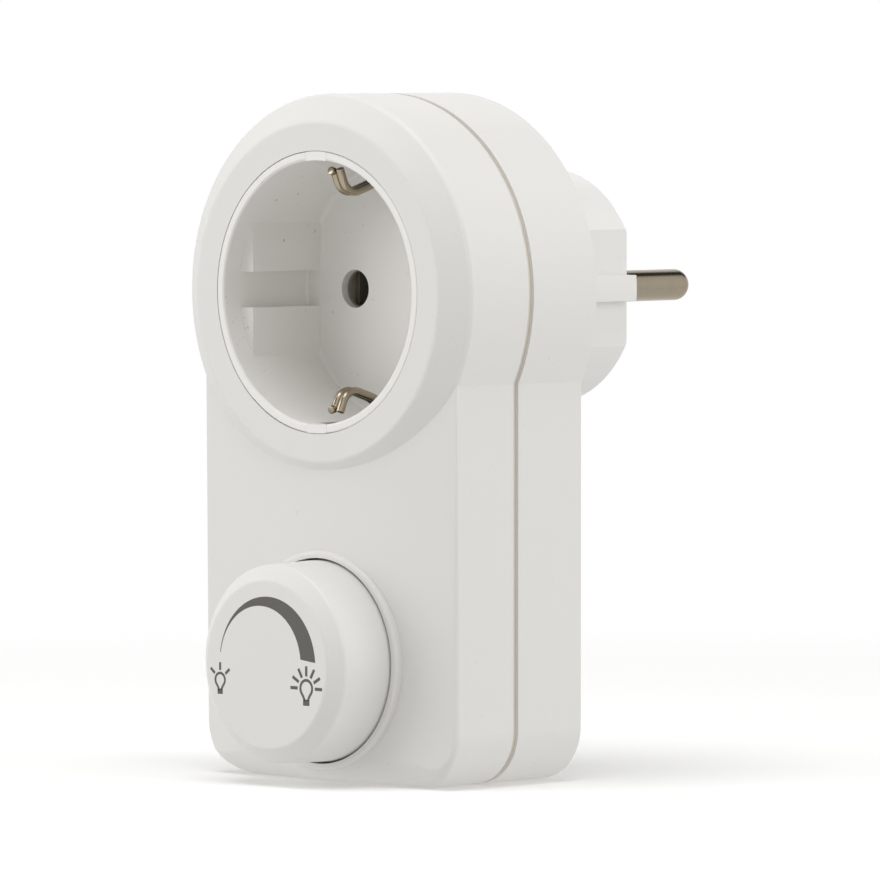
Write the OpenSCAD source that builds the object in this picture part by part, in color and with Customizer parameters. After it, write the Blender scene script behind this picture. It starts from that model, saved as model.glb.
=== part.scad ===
// Plug-in lamp dimmer: an earthed mains plug at the back, an earthed socket in a
// round head at the front, and a turning knob on the lower body.
// The socket and plug share the Y axis. The wall face of the body is the plane y = 0,
// the front faces -Y, +X is to the right and +Z is up.

/* [Body] */
// Width of the lower body
body_w = 53; // [50:0.5:58]
// Distance from the socket axis down to the bottom face
body_drop = 73.4; // [72:0.2:84]
// Depth from the front edges of the lower body to the wall face
body_d = 27; // [26:0.5:32]
// How far the front face bulges at its middle
front_bulge = 2.15; // [1.2:0.05:2.4]
// Radius of the two bottom corners
corner_r = 12; // [9:0.5:14]
// Wall thickness of both shells
wall = 2; // [1.6:0.1:2.4]
// Rounding of the rear edges
edge_r = 0.4; // [0.2:0.1:1.4]
// Depth of the front shell's side wall
front_d = 12.05; // [10:0.05:13]
// Width of the shadow groove between the shells
groove_w = 1.1; // [0.6:0.1:1.6]
// Depth of the shadow groove
groove_deep = 0.6; // [0.4:0.1:1.2]
// Length of the rear shell's tongue inside the front shell
tongue_l = 1.6; // [1:0.1:2.5]
// Thickness of the tongue
tongue_t = 1; // [0.8:0.1:1.4]

/* [Head] */
// Radius of the round head
head_r = 29.7; // [29.4:0.1:33]
// Radius of the flat ring on the head's face
head_face_r = 25.5; // [24:0.1:27]
// How far the head's face stands in front of the body's front edges
head_rise = 2.9; // [2.5:0.1:4]
// Rounding of the head's two front edges
head_edge_r = 1.2; // [0.4:0.1:2]

/* [Socket] */
// Radius of the socket well
well_r = 19.75; // [19.5:0.05:20]
// Depth of the socket well
well_depth = 17.9; // [17.5:0.1:18.5]
// Width of the insert's rim
rim_w = 1.35; // [1.2:0.05:1.6]
// Visible seam between the rim and the head
rim_seam = 0.08; // [0.05:0.01:0.2]
// Thickness of the well's floor
floor_t = 2; // [1.6:0.1:2.4]
// Radius of the pin holes in the floor
hole_r = 2.9; // [2.7:0.05:3.1]
// Distance between the pins, at the plug and at the socket
pin_spacing = 19; // [18.8:0.1:19.2]
// Distance from the axis to the flat faces of the side guides
guide_x = 17; // [16.5:0.1:18]
// Width of the groove between a pair of guides
guide_gap = 5.4; // [5:0.1:6]
// How far the guides start behind the rim
guide_set = 3.5; // [2:0.1:6]
// Width of the two slots for the earth clips
slot_w = 4.3; // [4:0.1:5]
// How far the flange behind the head's face reaches past the rim
flange_w = 1.3; // [1:0.1:1.6]

/* [Earth clips] */
// Radius of the clip wire
clip_r = 0.65; // [0.5:0.05:0.8]
// Distance between the two legs of a clip
clip_pitch = 1.5; // [1.5:0.1:2.2]
// Distance from the socket axis to the clip's crest
clip_crest = 14.4; // [13.6:0.1:15.4]
// Distance from the rim to the clip's crest
crest_set = 5.6; // [5:0.1:7]
// Distance from the rim to the clip's tip
tip_set = 3.9; // [3.6:0.1:4.4]

/* [Plug] */
// Radius of the plug body
plug_r = 18; // [17.8:0.1:18.6]
// How far the plug body stands out of the wall face
plug_d = 21.4; // [21:0.1:23]
// Distance from the axis to the plug's flat sides
plug_flat = 15.65; // [15.2:0.05:16.5]
// Width of the rib in the middle of each flat side
rib_w = 3.9; // [3.6:0.1:5]
// Radius of the plug pins
pin_r = 2.4; // [2.35:0.05:2.45]
// Length of the plug pins in front of the plug body
pin_len = 19.4; // [19:0.1:20.4]
// Width of the earth contacts on the plug
earth_w = 6.8; // [5:0.1:8]

/* [Knob] */
// Distance from the socket axis down to the knob's axis
knob_drop = 55.2; // [54:0.1:58]
// Radius of the knob's flat face
knob_face_r = 12.65; // [11.5:0.05:13.2]
// Radius of the knob behind its bevel
knob_r = 14.85; // [14:0.05:15]
// Radius of the knob's skirt in the collar
skirt_r = 15.1; // [15:0.05:15.6]
// How far the knob's face stands in front of the body's front edges
knob_rise = 13.4; // [11:0.05:15]
// Depth of the bevel round the knob's face
knob_bevel = 1.8; // [1.4:0.1:2.6]
// Wall of the knob
knob_wall = 1.6; // [1.2:0.1:2]
// Running gap between the knob and its collar
knob_gap = 0.35; // [0.3:0.05:0.6]
// Width of the collar's rim
collar_w = 1.05; // [0.8:0.05:1.6]
// How far the collar stands in front of the bulged face
collar_rise = 0.45; // [0.2:0.05:1.5]
// Radius of the potentiometer's shaft
shaft_r = 3; // [2.8:0.05:3.2]

/* [Circuit] */
// Thickness of the circuit board
board_t = 1.6; // [1.2:0.1:2]
// Gap between the circuit board and the shell's tongue, at each side
board_gap = 1.95; // [1:0.05:3]
// Height of the posts that carry the board
post_h = 5.9; // [5:0.1:7]
// Radius of the potentiometer's case
pot_r = 8.2; // [7.8:0.1:8.6]
// Depth of the potentiometer's case
pot_d = 8; // [7.5:0.1:9]
// Radius of the choke
choke_r = 7; // [5:0.1:7.2]
// Height of the choke
choke_h = 12; // [9:0.1:13]
// Size of the suppression capacitor across, up and out of the board
film_size = [8.5, 16, 11];
// Diameter of the insulated wires
wire_d = 1.8; // [1.4:0.1:2]

/* [Fixings] */
// Radius of the housing screws
screw_r = 1.45; // [1.3:0.05:1.6]
// Radius of the screw heads
screw_head_r = 2.75; // [2.5:0.05:3]
// Depth of the screw heads' bearing below the wall face
screw_sink = 7; // [5:0.1:8]
// Length of the screws under the head
screw_len = 14; // [12:0.1:15]

/* [Hidden] */
$fn = 96;

// Colours
shell_white = "#e4e2dd";
nickel = "#b7ab9a";
brass = "#c9a24a";
board_green = "#2f6a45";
dark_epoxy = "#26282b";
bare_aluminium = "#c3c6c9";
copper = "#b5652f";

// Small clearances: a close seat, a running bearing, a loose hole and an overlap inside one piece
seat = 0.05;
bearing = 0.05;
loose = 0.25;
bury = 0.3;

// Planes along Y, from the front to the back
y_front = -body_d;
y_bulge = y_front - front_bulge;
y_head = y_front - head_rise;
y_split = y_front + front_d;
y_back_shell = y_split + groove_w;
y_floor = y_head + well_depth;
y_floor_back = y_floor + floor_t;
y_wall_in = -wall;

// Lower body
half_w = body_w / 2;
bulge_r = (half_w * half_w + front_bulge * front_bulge) / (2 * front_bulge);
bulge_y = y_bulge + bulge_r;

// Socket insert
insert_r = well_r + rim_w;
flange_r = insert_r + flange_w;
flange_t = 1.5;
pin_x = pin_spacing / 2;

// Screws: two beside the socket insert and two at the bottom corners
boss_r = screw_r + 1.25;
sink_r = screw_head_r + loose;
rear_boss_r = sink_r + 1;
screw_head_h = 2;
head_screw_at = flange_r + loose + boss_r;
head_screw_angle = 50;
foot_in = wall + rear_boss_r + 2;
SCREWS = [for (side = [-1, 1]) each [
    [side * head_screw_at * sin(head_screw_angle), head_screw_at * cos(head_screw_angle)],
    [side * (half_w - foot_in), foot_in - body_drop]
]];

// Knob and collar
z_knob = -knob_drop;
collar_r = skirt_r + knob_gap;
y_collar = y_bulge - collar_rise;
y_knob = y_front - knob_rise;
y_recess = y_front + 0.8;
cup_t = 1.8;
skirt_clear = 0.5;
hub_r = shaft_r + 2;
shaft_grip = 0.03;
shaft_flat = shaft_r / 2;

// Circuit board
board_w = body_w - 2 * (wall + seat + tongue_t + board_gap);
y_board_back = y_wall_in - post_h;
y_board = y_board_back - board_t;
z_board = -(flange_r + 4.6);
z_board_mid = foot_in - body_drop + rear_boss_r + 0.5;
tongue_half = half_w - foot_in - rear_boss_r - 2;
z_board_low = z_knob - pot_r - 5;
post_r = 2.2;
wafer_t = 1.2;
case_t = 0.8;
bush_l = 5;
bush_r = shaft_r + 1;
fuse_r = 2.5;
fuse_l = 20;
fuse_z = z_board - 4;
fuse_y = y_board - fuse_r - 1.2;
fuse_x = -2.5;
cap_l = 5;
cap_t = 0.25;
choke_x = -board_w / 2 + choke_r + 0.8;
choke_z = z_board - choke_r - 2.5;
sink_x = board_w / 2 - 3;
sink_t = 1.5;

// Plug
plug_wall = 2.05;
cavity_r = plug_flat - plug_wall;
end_wall = 4;
y_pin_in = plug_d - 10.4;
pin_root_r = pin_r + 0.2;
pin_boss_r = pin_root_r + 1.8;
pin_seat = 0.02;
earth_t = 0.8;
earth_z = plug_r - 1.3;
earth_end = plug_d - 2.4;
cross_gap = 3.6;
sleeve_z = 10;
sleeve_r = 2.5;
sleeve_t = 0.48;
sleeve_wall = 1.2;
sleeve_lead = 3;
rest_r = 1.8;
rest_at = (cavity_r + insert_r) / 2;
rest_angle = 25;

// Socket contacts
leaf_t = 0.8;
leaf_in = pin_r - 0.25;
leaf_out = leaf_in + leaf_t;
leaf_h = 2.5;
leaf_set = 1.2;
pocket_l = 3.6;
tail_w = 2;
tail_gap = 0.3;
pocket_t = 1.2;
tag_w = 2.6;
tag_t = 0.8;
live_gap = 3;
live_end = y_pin_in - live_gap;
tail_z = -7;
wire_r = wire_d / 2;
wire_z = -6.2;
choke_rim = 2;
neck_share = 0.55;
coil_in = 0.6;
run_gap = 3.5;
high_bend = 2.5;
low_bend = 1.6;

// Earth clip path as depth, height and bend radius
clip_top_z = 18.55;
crest_bend = 2;
crest_lift = 0.4;
tip_in = 0.2;
ramp_out = 6.5;
ramp_rise = 1.6;
ramp_bend = 4;
knee_out = 1;
knee_bend = 3;
foot_t = 1.4;
foot_lip = 0.2;
y_foot = y_floor_back + 2;
CLIP = [
    [y_head + tip_set, clip_top_z - tip_in, 0],
    [y_head + crest_set, clip_crest + crest_lift, crest_bend],
    [y_floor - ramp_out, clip_crest + ramp_rise, ramp_bend],
    [y_floor - knee_out, clip_top_z, knee_bend],
    [y_foot - foot_t / 2, clip_top_z, 0]
];

function unit(v) = v / norm(v);
function flat(p) = [p[0], p[1]];

// Start, centre and end of the arc that rounds corner i of a path
function arc_at(path, i) =
    let (n = len(path))
    let (a = flat(path[(i + n - 1) % n]), b = flat(path[i]), c = flat(path[(i + 1) % n]), r = path[i][2])
    let (u = unit(a - b), v = unit(c - b), half = acos(u * v) / 2)
    [b + u * r / tan(half), b + unit(u + v) * r / sin(half), b + v * r / tan(half)];

// A corner is convex where an anticlockwise path turns left
function convex(path, i) =
    let (n = len(path))
    let (a = flat(path[(i + n - 1) % n]), b = flat(path[i]), c = flat(path[(i + 1) % n]))
    cross(b - a, c - b) > 0;

module pie(arc) {
    s = arc[0];
    o = arc[1];
    e = arc[2];
    intersection() {
        translate(o) circle(norm(s - o));
        polygon([o, 2 * s - o, o + 2 * (s + e - 2 * o), 2 * e - o]);
    }
}

// An anticlockwise outline of [x, y, corner radius] with true arcs at its corners
module round_shape(path) {
    ROUND = [for (i = [0:len(path) - 1]) if (path[i][2] > 0) i];
    difference() {
        union() {
            polygon([for (i = [0:len(path) - 1]) each path[i][2] > 0 ? arc_at(path, i) : [flat(path[i])]]);
            for (i = ROUND) if (convex(path, i)) pie(arc_at(path, i));
        }
        for (i = ROUND) if (!convex(path, i)) pie(arc_at(path, i));
    }
}

// An outline seen from the front, drawn out between two depths
module along_y(y0, y1) {
    translate([0, y1, 0]) rotate([90, 0, 0]) linear_extrude(y1 - y0) children();
}

// A profile of radius and depth, turned about an axis along Y
module about_y(x = 0, z = 0, angle = 360) {
    translate([x, 0, z]) rotate([-90, 0, 0]) rotate_extrude(angle = angle) children();
}

module rod_y(r, y0, y1, x = 0, z = 0) {
    translate([x, y0, z]) rotate([-90, 0, 0]) cylinder(r = r, h = y1 - y0);
}

module rod_x(r, x0, x1, y, z) {
    translate([x0, y, z]) rotate([0, 90, 0]) cylinder(r = r, h = x1 - x0);
}

module block(low, high) {
    translate(low) cube(high - low);
}

module in_yz(x) {
    translate([x, 0, 0]) rotate([90, 0, 90]) children();
}

// A path of [depth, height, bend radius] with its bends drawn as short steps
function bent(path, steps = 6) = [for (i = [0:len(path) - 1])
    each path[i][2] == 0 ? [flat(path[i])] :
        let (arc = arc_at(path, i), s = arc[0] - arc[1], e = arc[2] - arc[1])
        let (sweep = (atan2(e.y, e.x) - atan2(s.y, s.x) + 540) % 360 - 180)
        [for (k = [0:steps]) let (t = sweep * k / steps)
            arc[1] + [s.x * cos(t) - s.y * sin(t), s.x * sin(t) + s.y * cos(t)]]];

// Points moved sideways from a line by a distance
function beside(line, d) = let (last = len(line) - 1) [for (i = [0:last])
    let (u = unit(i == 0 ? line[1] - line[0] : line[i] - line[i - 1]))
    let (v = i == last ? u : unit(line[i + 1] - line[i]))
    let (m = unit([-u.y - v.y, u.x + v.x]))
    line[i] + m * d / (m * [-u.y, u.x])];

// Side view of a bent strip
module strip(path, half_t) {
    line = bent(path);
    left = beside(line, half_t);
    polygon(concat(beside(line, -half_t), [for (i = [len(left) - 1:-1:0]) left[i]]));
}

// A round wire along a path of [depth, height, bend radius] with square bends
module wire(path, r, x) {
    last = len(path) - 1;
    START = [for (i = [0:last]) path[i][2] > 0 ? arc_at(path, i)[2] : flat(path[i])];
    END = [for (i = [0:last]) path[i][2] > 0 ? arc_at(path, i)[0] : flat(path[i])];
    in_yz(x) {
        for (i = [0:last - 1]) {
            run = END[i + 1] - START[i];
            translate(START[i]) rotate([0, 0, atan2(run.y, run.x)]) rotate([0, 90, 0])
                cylinder(r = r, h = norm(run));
        }
        for (i = [1:last - 1]) {
            arc = arc_at(path, i);
            from = atan2(arc[0].y - arc[1].y, arc[0].x - arc[1].x);
            to = atan2(arc[2].y - arc[1].y, arc[2].x - arc[1].x);
            sweep = (to - from + 540) % 360 - 180;
            translate(arc[1]) rotate([0, 0, sweep > 0 ? from : to])
                rotate_extrude(angle = abs(sweep)) translate([path[i][2], 0]) circle(r);
        }
    }
}

// Outline of the lower body, drawn in from its real edge by an inset
module lower_outline(inset) {
    x = half_w - inset;
    low = inset - body_drop;
    r = corner_r - inset;
    round_shape([[-x, low, r], [x, low, r], [x, 0, 0], [-x, 0, 0]]);
}

// Lower body with its bulged front
module lower_front(inset, y1) {
    intersection() {
        along_y(y_bulge - 1, y1) lower_outline(inset);
        translate([0, bulge_y, -body_drop - 1]) cylinder(r = bulge_r - inset, h = body_drop + 2);
    }
}

// Lower body of the rear shell, with its wall-side edges rounded
module lower_rear(y0, y1) {
    r = edge_r;
    straight = body_drop - corner_r;
    flank = half_w - corner_r;
    edge = [[0, y0, 0], [corner_r, y0, 0], [corner_r, y1, r], [0, y1, 0]];
    translate([0, 0, -straight]) linear_extrude(straight)
        round_shape([[-half_w, y0, 0], [half_w, y0, 0], [half_w, y1, r], [-half_w, y1, r]]);
    translate([-flank, 0, -straight]) rotate([0, 90, 0]) linear_extrude(2 * flank) round_shape(edge);
    about_y(flank, -straight, 90) round_shape(edge);
    mirror([1, 0, 0]) about_y(flank, -straight, 90) round_shape(edge);
}

module body_core(inset, y0, y1) {
    along_y(y0, y1) lower_outline(inset);
    rod_y(head_r - inset, y0, y1);
}

module front_housing() {
    color(shell_white) difference() {
        union() {
            difference() {
                union() {
                    lower_front(0, y_split);
                    about_y() round_shape([
                        [0, y_head, 0], [head_face_r, y_head, head_edge_r], [head_r, y_front, head_edge_r],
                        [head_r, y_split, 0], [0, y_split, 0]
                    ]);
                }
                lower_front(wall, y_split + 1);
                rod_y(head_face_r - wall / 2, y_head + wall, y_split + 1);
                rod_y(head_r - wall, y_front + wall, y_split + 1);
            }
            collar();
            for (s = SCREWS) rod_y(boss_r, y_front, y_split, s.x, s.y);
        }
        rod_y(insert_r + rim_seam, y_head - 1, y_split + 1);
        rod_y(collar_r, y_collar - 1, y_recess, 0, z_knob);
        rod_y(bush_r + loose, y_recess - 1, y_recess + cup_t + 1, 0, z_knob);
        for (s = SCREWS)
            rod_y(screw_r + seat, y_split - screw_len + screw_sink, y_split + 1, s.x, s.y);
    }
}

// Ring round the knob and the cup behind it that carries the ring
module collar() {
    outer = collar_r + collar_w;
    about_y(0, z_knob) round_shape([
        [0, y_collar, 0], [outer, y_collar, 0.6], [outer, y_recess + cup_t, 0], [0, y_recess + cup_t, 0]
    ]);
}

module rear_housing() {
    groove = groove_deep;
    tongue = wall + seat;
    color(shell_white) difference() {
        union() {
            difference() {
                union() {
                    lower_rear(y_back_shell, 0);
                    about_y() round_shape([
                        [0, y_back_shell, 0], [head_r, y_back_shell, 0], [head_r, 0, edge_r], [0, 0, 0]
                    ]);
                    body_core(groove, y_split, y_back_shell + bury);
                    difference() {
                        body_core(tongue, y_split - tongue_l, y_split + bury);
                        for (s = SCREWS) rod_y(boss_r + loose, y_split - tongue_l - 1, y_split, s.x, s.y);
                    }
                }
                body_core(tongue + tongue_t, y_split - tongue_l - 1, y_wall_in);
            }
            intersection() {
                for (s = SCREWS) rod_y(rear_boss_r, y_split + seat, y_wall_in + bury, s.x, s.y);
                body_core(groove, y_split, y_wall_in + bury);
            }
            for (p = BOARD_POSTS) rod_y(post_r, y_board_back, y_wall_in + bury, p.x, p.y);
        }
        for (s = SCREWS) {
            rod_y(screw_r + loose, y_split - 1, 1, s.x, s.y);
            rod_y(sink_r, -screw_sink, 1, s.x, s.y);
        }
        rod_y(plug_r + seat, y_wall_in - 1, 1);
    }
}
BOARD_POSTS = [for (side = [-1, 1]) each [
    [side * (board_w / 2 - 3.5), z_board - 3.5],
    [side * (tongue_half - 3), z_board_low + 3]
]];

// Round plug with a rib in the middle of each flat side, held by a flange behind the rear wall
module plug_body() {
    y_flange = y_wall_in - seat;
    color(shell_white) difference() {
        union() {
            intersection() {
                about_y() round_shape([
                    [0, -bury, 0], [plug_r, -bury, 0], [plug_r, plug_d, edge_r], [0, plug_d, 0]
                ]);
                union() {
                    block([-plug_flat, -1, -plug_r - 1], [plug_flat, plug_d + 1, plug_r + 1]);
                    block([-plug_r - 1, -1, -rib_w / 2], [plug_r + 1, plug_d + 1, rib_w / 2]);
                }
            }
            rod_y(plug_r, y_flange - flange_t, 0);
            rod_y(plug_r + flange_w, y_flange - flange_t, y_flange);
            for (sx = [-1, 1], sz = [-1, 1])
                rod_y(rest_r, y_floor_back + seat, y_flange, sx * rest_at * cos(rest_angle), sz * rest_at * sin(rest_angle));
        }
        difference() {
            rod_y(cavity_r, y_flange - flange_t - 1, plug_d - end_wall);
            for (side = [-1, 1]) rod_y(pin_boss_r, y_pin_in + seat, plug_d, side * pin_x);
            rod_y(sleeve_r + sleeve_t + sleeve_wall, y_pin_in - sleeve_lead, plug_d, 0, sleeve_z);
        }
        for (side = [-1, 1]) {
            rod_y(pin_root_r + pin_seat, y_pin_in - 1, plug_d + 1, side * pin_x);
            earth_recess(side);
        }
        rod_y(sleeve_r + sleeve_t + pin_seat, y_wall_in, plug_d + 1, 0, sleeve_z);
    }
}

// Open channel for the earth contact along the top (side 1) or bottom (side -1) of the plug
module earth_recess(side) {
    half = earth_w / 2 + loose;
    low = earth_z - earth_t / 2 - loose;
    mirror([0, 0, side < 0 ? 1 : 0])
        block([-half, y_wall_in - flange_t - 1, low], [half, earth_end + loose, plug_r + flange_w + 1]);
}

module socket_insert() {
    color(shell_white) difference() {
        union() {
            about_y() round_shape([
                [0, y_floor_back, 0], [0, y_floor, 0], [well_r, y_floor, 0.5], [well_r, y_head, 0.4],
                [insert_r, y_head, 0.2], [insert_r, y_floor_back, 0.6]
            ]);
            difference() {
                rod_y(flange_r, y_head + wall + seat, y_head + wall + seat + flange_t);
                rod_y(insert_r - bury, y_head, y_floor);
            }
            for (side = [-1, 1], half = [-1, 1]) guide(side, half);
            for (side = [-1, 1]) pocket(side * pin_x);
        }
        for (side = [-1, 1]) {
            rod_y(hole_r, y_floor - 1, y_floor_back + 1, side * pin_x);
            clip_slot(side);
        }
    }
}

// Flat-faced guide block on the well's side wall
module guide(side, half) {
    intersection() {
        mirror([side < 0 ? 1 : 0, 0, 0]) mirror([0, 0, half < 0 ? 1 : 0])
            block([guide_x, y_head + guide_set, guide_gap / 2], [insert_r, y_floor + bury, insert_r]);
        rod_y(well_r + bury, y_head, y_floor_back);
    }
}

// Square chimney behind a pin hole, which holds the contact
module pocket(x) {
    in_x = leaf_out + seat;
    in_z = leaf_h + seat;
    y0 = y_floor_back - bury;
    y1 = y_floor_back + pocket_l;
    difference() {
        block([x - in_x - pocket_t, y0, -in_z - pocket_t], [x + in_x + pocket_t, y1, in_z + pocket_t]);
        block([x - in_x, y_floor_back, -in_z], [x + in_x, y1 + 1, in_z]);
    }
}

// Slot through the well's wall and floor, for an earth clip to flex into
module clip_slot(side) {
    mirror([0, 0, side < 0 ? 1 : 0]) {
        block([-slot_w / 2, y_head - 1, well_r - 0.8], [slot_w / 2, y_floor_back + 1, flange_r + 1]);
        block([-slot_w / 2, y_floor - 1, clip_top_z - clip_r - 0.6], [slot_w / 2, y_floor_back + 1, flange_r]);
    }
}

// Small key that closes a clip slot in the rim
module slot_cover(side) {
    half = slot_w / 2 - seat;
    color(shell_white) intersection() {
        mirror([0, 0, side < 0 ? 1 : 0])
            block([-half, y_head, 0], [half, y_head + tip_set - clip_r - 0.6, insert_r + 1]);
        difference() {
            rod_y(insert_r, y_head, y_floor);
            rod_y(well_r, y_head - 1, y_floor + 1);
        }
    }
}
module slot_cover_top() { slot_cover(1); }
module slot_cover_bottom() { slot_cover(-1); }

// Sprung earth clip: two bent wire legs on a common foot
module earth_clip(side) {
    half = clip_pitch / 2 + clip_r + foot_lip;
    high = clip_r + foot_lip;
    color(nickel) mirror([0, 0, side < 0 ? 1 : 0]) {
        for (leg = [-1, 1]) in_yz(leg * clip_pitch / 2 - clip_r) linear_extrude(2 * clip_r) strip(CLIP, clip_r);
        block([-half, y_foot - foot_t, clip_top_z - high], [half, y_foot, clip_top_z + high]);
    }
}
module earth_clip_top() { earth_clip(1); }
module earth_clip_bottom() { earth_clip(-1); }

// Bridge between both clips and the earth contacts of the plug
module earth_bar() {
    half = earth_w / 2;
    y0 = y_foot + 0.3;
    cross_y = y_wall_in - cross_gap;
    color(nickel) {
        block([-half, cross_y - earth_t, -earth_z], [half, cross_y, earth_z]);
        for (side = [0, 1]) mirror([0, 0, side])
            block([-half, y0, earth_z - earth_t / 2], [half, earth_end, earth_z + earth_t / 2]);
    }
}

// Sleeve for the earth pin of a pin-earthed wall socket
module earth_pin_sleeve() {
    color(nickel) difference() {
        rod_y(sleeve_r + sleeve_t, y_pin_in - sleeve_lead + 0.4, plug_d - 1, 0, sleeve_z);
        rod_y(sleeve_r, y_pin_in - sleeve_lead, plug_d, 0, sleeve_z);
    }
}

module plug_pin(side) {
    y1 = plug_d + pin_len;
    about_y(side * pin_x) round_shape([
        [0, y_pin_in, 0], [pin_root_r, y_pin_in, 0.3], [pin_root_r, plug_d, 0], [pin_r, plug_d, 0],
        [pin_r, y1, 0.92 * pin_r], [0, y1, 0]
    ]);
}
module plug_pin_left() { color(nickel) plug_pin(-1); }
module plug_pin_right() {
    color(nickel) {
        plug_pin(1);
        rod_y(rivet_r, y_pin_in - tag_t - 0.3, y_pin_in + 1, pin_x);
        block([pin_x - tag_w / 2, y_pin_in - tag_t, wire_z - tag_w / 2], [pin_x + tag_w / 2, y_pin_in, tag_w]);
    }
}

// Two spring leaves joined at the back, open towards the pin hole
module contact(x, y_end) {
    y0 = y_floor_back + leaf_set;
    for (side = [-1, 1])
        block([x + side * (leaf_in + leaf_t / 2) - leaf_t / 2, y0, -leaf_h],
              [x + side * (leaf_in + leaf_t / 2) + leaf_t / 2, y_end, leaf_h]);
    block([x - leaf_out, y_end - leaf_t, -leaf_h], [x + leaf_out, y_end, leaf_h]);
}
module socket_contact_left() { color(brass) contact(-pin_x, y_pin_in); }
module socket_contact_right() {
    y0 = y_floor_back + pocket_l + tail_gap;
    color(brass) {
        contact(pin_x, live_end);
        block([pin_x + leaf_in, y0, tail_z], [pin_x + leaf_out, y0 + tail_w, 0]);
    }
}

module circuit_board() {
    half = board_w / 2;
    color(board_green) along_y(y_board, y_board_back) polygon([
        [-half, z_board], [-half, z_board_mid], [-tongue_half, z_board_mid], [-tongue_half, z_board_low],
        [tongue_half, z_board_low], [tongue_half, z_board_mid], [half, z_board_mid], [half, z_board]
    ]);
}

module potentiometer_case() {
    y0 = y_board - pot_d;
    y1 = y_board - wafer_t;
    color(nickel) about_y(0, z_knob) polygon([
        [shaft_r + bearing, y0 - bush_l], [bush_r, y0 - bush_l], [bush_r, y0], [pot_r, y0], [pot_r, y1],
        [pot_r - case_t, y1], [pot_r - case_t, y0 + 1], [shaft_r + bearing, y0 + 1]
    ]);
}

module potentiometer_wafer() {
    color("#7a5230") difference() {
        rod_y(pot_r, y_board - wafer_t, y_board, 0, z_knob);
        rod_y(tail_r + bearing, y_board - wafer_t - 1, y_board + 1, 0, z_knob);
    }
}
tail_r = 1.2;
rotor_r = pot_r - case_t - 0.9;
rotor_y = y_board - pot_d + 1.6;
rotor_t = 1.5;

// Moulded shaft with the rotor disc, flatted where the knob sits
module potentiometer_shaft() {
    y_end = y_knob + knob_wall + 0.6;
    y_tail = y_board - wafer_t;
    color("#d8d5cc") difference() {
        about_y(0, z_knob) polygon([
            [0, y_end], [shaft_r, y_end], [shaft_r, rotor_y], [rotor_r, rotor_y], [rotor_r, rotor_y + rotor_t],
            [2.5, rotor_y + rotor_t], [2.5, y_tail - 0.3], [tail_r, y_tail - 0.3], [tail_r, y_board - 0.2],
            [0, y_board - 0.2]
        ]);
        block([-shaft_r - 1, y_end - 1, z_knob + shaft_flat], [shaft_r + 1, y_recess - 1, z_knob + shaft_r + 1]);
    }
}

// Spring arm under the rotor that runs on the wafer's track
module wiper_spring() {
    y0 = rotor_y + rotor_t;
    y1 = y_board - wafer_t - 0.15;
    color(brass) {
        block([2.8, y0, z_knob - 1], [rotor_r - 0.3, y0 + 0.3, z_knob + 1]);
        block([rotor_r - 0.9, y0, z_knob - 1], [rotor_r - 0.3, y1, z_knob + 1]);
    }
}

triac_drop = 24;
triac_z = z_board - triac_drop;
sink_below = 6;
sink_above = 17;
triac_w = 10;
triac_t = 4.5;
triac_l = 9;
tab_t = 1.3;
tab_l = 6;
leg_t = 0.6;
leg_pitch = 2.54;
triac_y = y_board - 1 - triac_w / 2;
rivet_r = 1.6;
rivet_z = triac_z + triac_l + tab_l / 2;

// Switching device on its edge: moulded body, metal tab and three legs bent to the board
module triac() {
    leg_x = sink_x - triac_t / 2;
    half = triac_w / 2;
    top = triac_z + triac_l;
    color(dark_epoxy) {
        block([sink_x - triac_t, triac_y - half, triac_z], [sink_x, triac_y + half, top]);
        difference() {
            block([sink_x - tab_t, triac_y - half, top - bury], [sink_x, triac_y + half, top + tab_l]);
            rod_x(rivet_r + seat, sink_x - triac_t, sink_x + 1, triac_y, rivet_z);
        }
        for (i = [-1, 0, 1]) {
            y = triac_y + i * leg_pitch;
            low = triac_z - 2.8 + i * 1.6;
            block([leg_x, y - leg_t / 2, low], [leg_x + leg_t, y + leg_t / 2, triac_z + bury]);
            block([leg_x, y - leg_t / 2, low - leg_t], [leg_x + leg_t, y_board, low]);
        }
    }
}

module heat_sink() {
    color(bare_aluminium) difference() {
        block([sink_x, triac_y - triac_w / 2 - 1, triac_z - sink_below],
              [sink_x + sink_t, y_board, triac_z + sink_above]);
        rod_x(rivet_r + seat, sink_x - 1, sink_x + sink_t + 1, triac_y, rivet_z);
    }
}

module heat_sink_rivet() {
    x0 = sink_x - tab_t;
    x1 = sink_x + sink_t;
    color(bare_aluminium) {
        rod_x(rivet_r, x0 - 1, x1 + 1, triac_y, rivet_z);
        rod_x(rivet_r + 1, x0 - 1, x0, triac_y, rivet_z);
        rod_x(rivet_r + 1, x1, x1 + 1, triac_y, rivet_z);
    }
}

// Ferrite drum of the interference choke
module choke_core() {
    neck = choke_r * neck_share;
    y0 = y_board - choke_h;
    color(dark_epoxy) about_y(choke_x, choke_z) polygon([
        [0, y0], [choke_r, y0], [choke_r, y0 + choke_rim], [neck, y0 + choke_rim], [neck, y_board - choke_rim],
        [choke_r, y_board - choke_rim], [choke_r, y_board], [0, y_board]
    ]);
}

// Copper winding on the drum's neck
module choke_winding() {
    neck = choke_r * neck_share + seat;
    y0 = y_board - choke_h + choke_rim + seat;
    y1 = y_board - choke_rim - seat;
    color(copper) about_y(choke_x, choke_z)
        polygon([[neck, y0], [choke_r - coil_in, y0], [choke_r - coil_in, y1], [neck, y1]]);
}

module suppression_capacitor() {
    x0 = -board_w / 2 + 1.5;
    z0 = z_board_mid + 0.5;
    color("#c9b03c") block([x0, y_board - film_size.z, z0], [x0 + film_size.x, y_board, z0 + film_size.y]);
}

module timing_capacitor() {
    z0 = z_board - 13;
    color("#9c3b2e") block([-3, y_board - 6, z0], [4, y_board, z0 + 2.5]);
}

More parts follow.
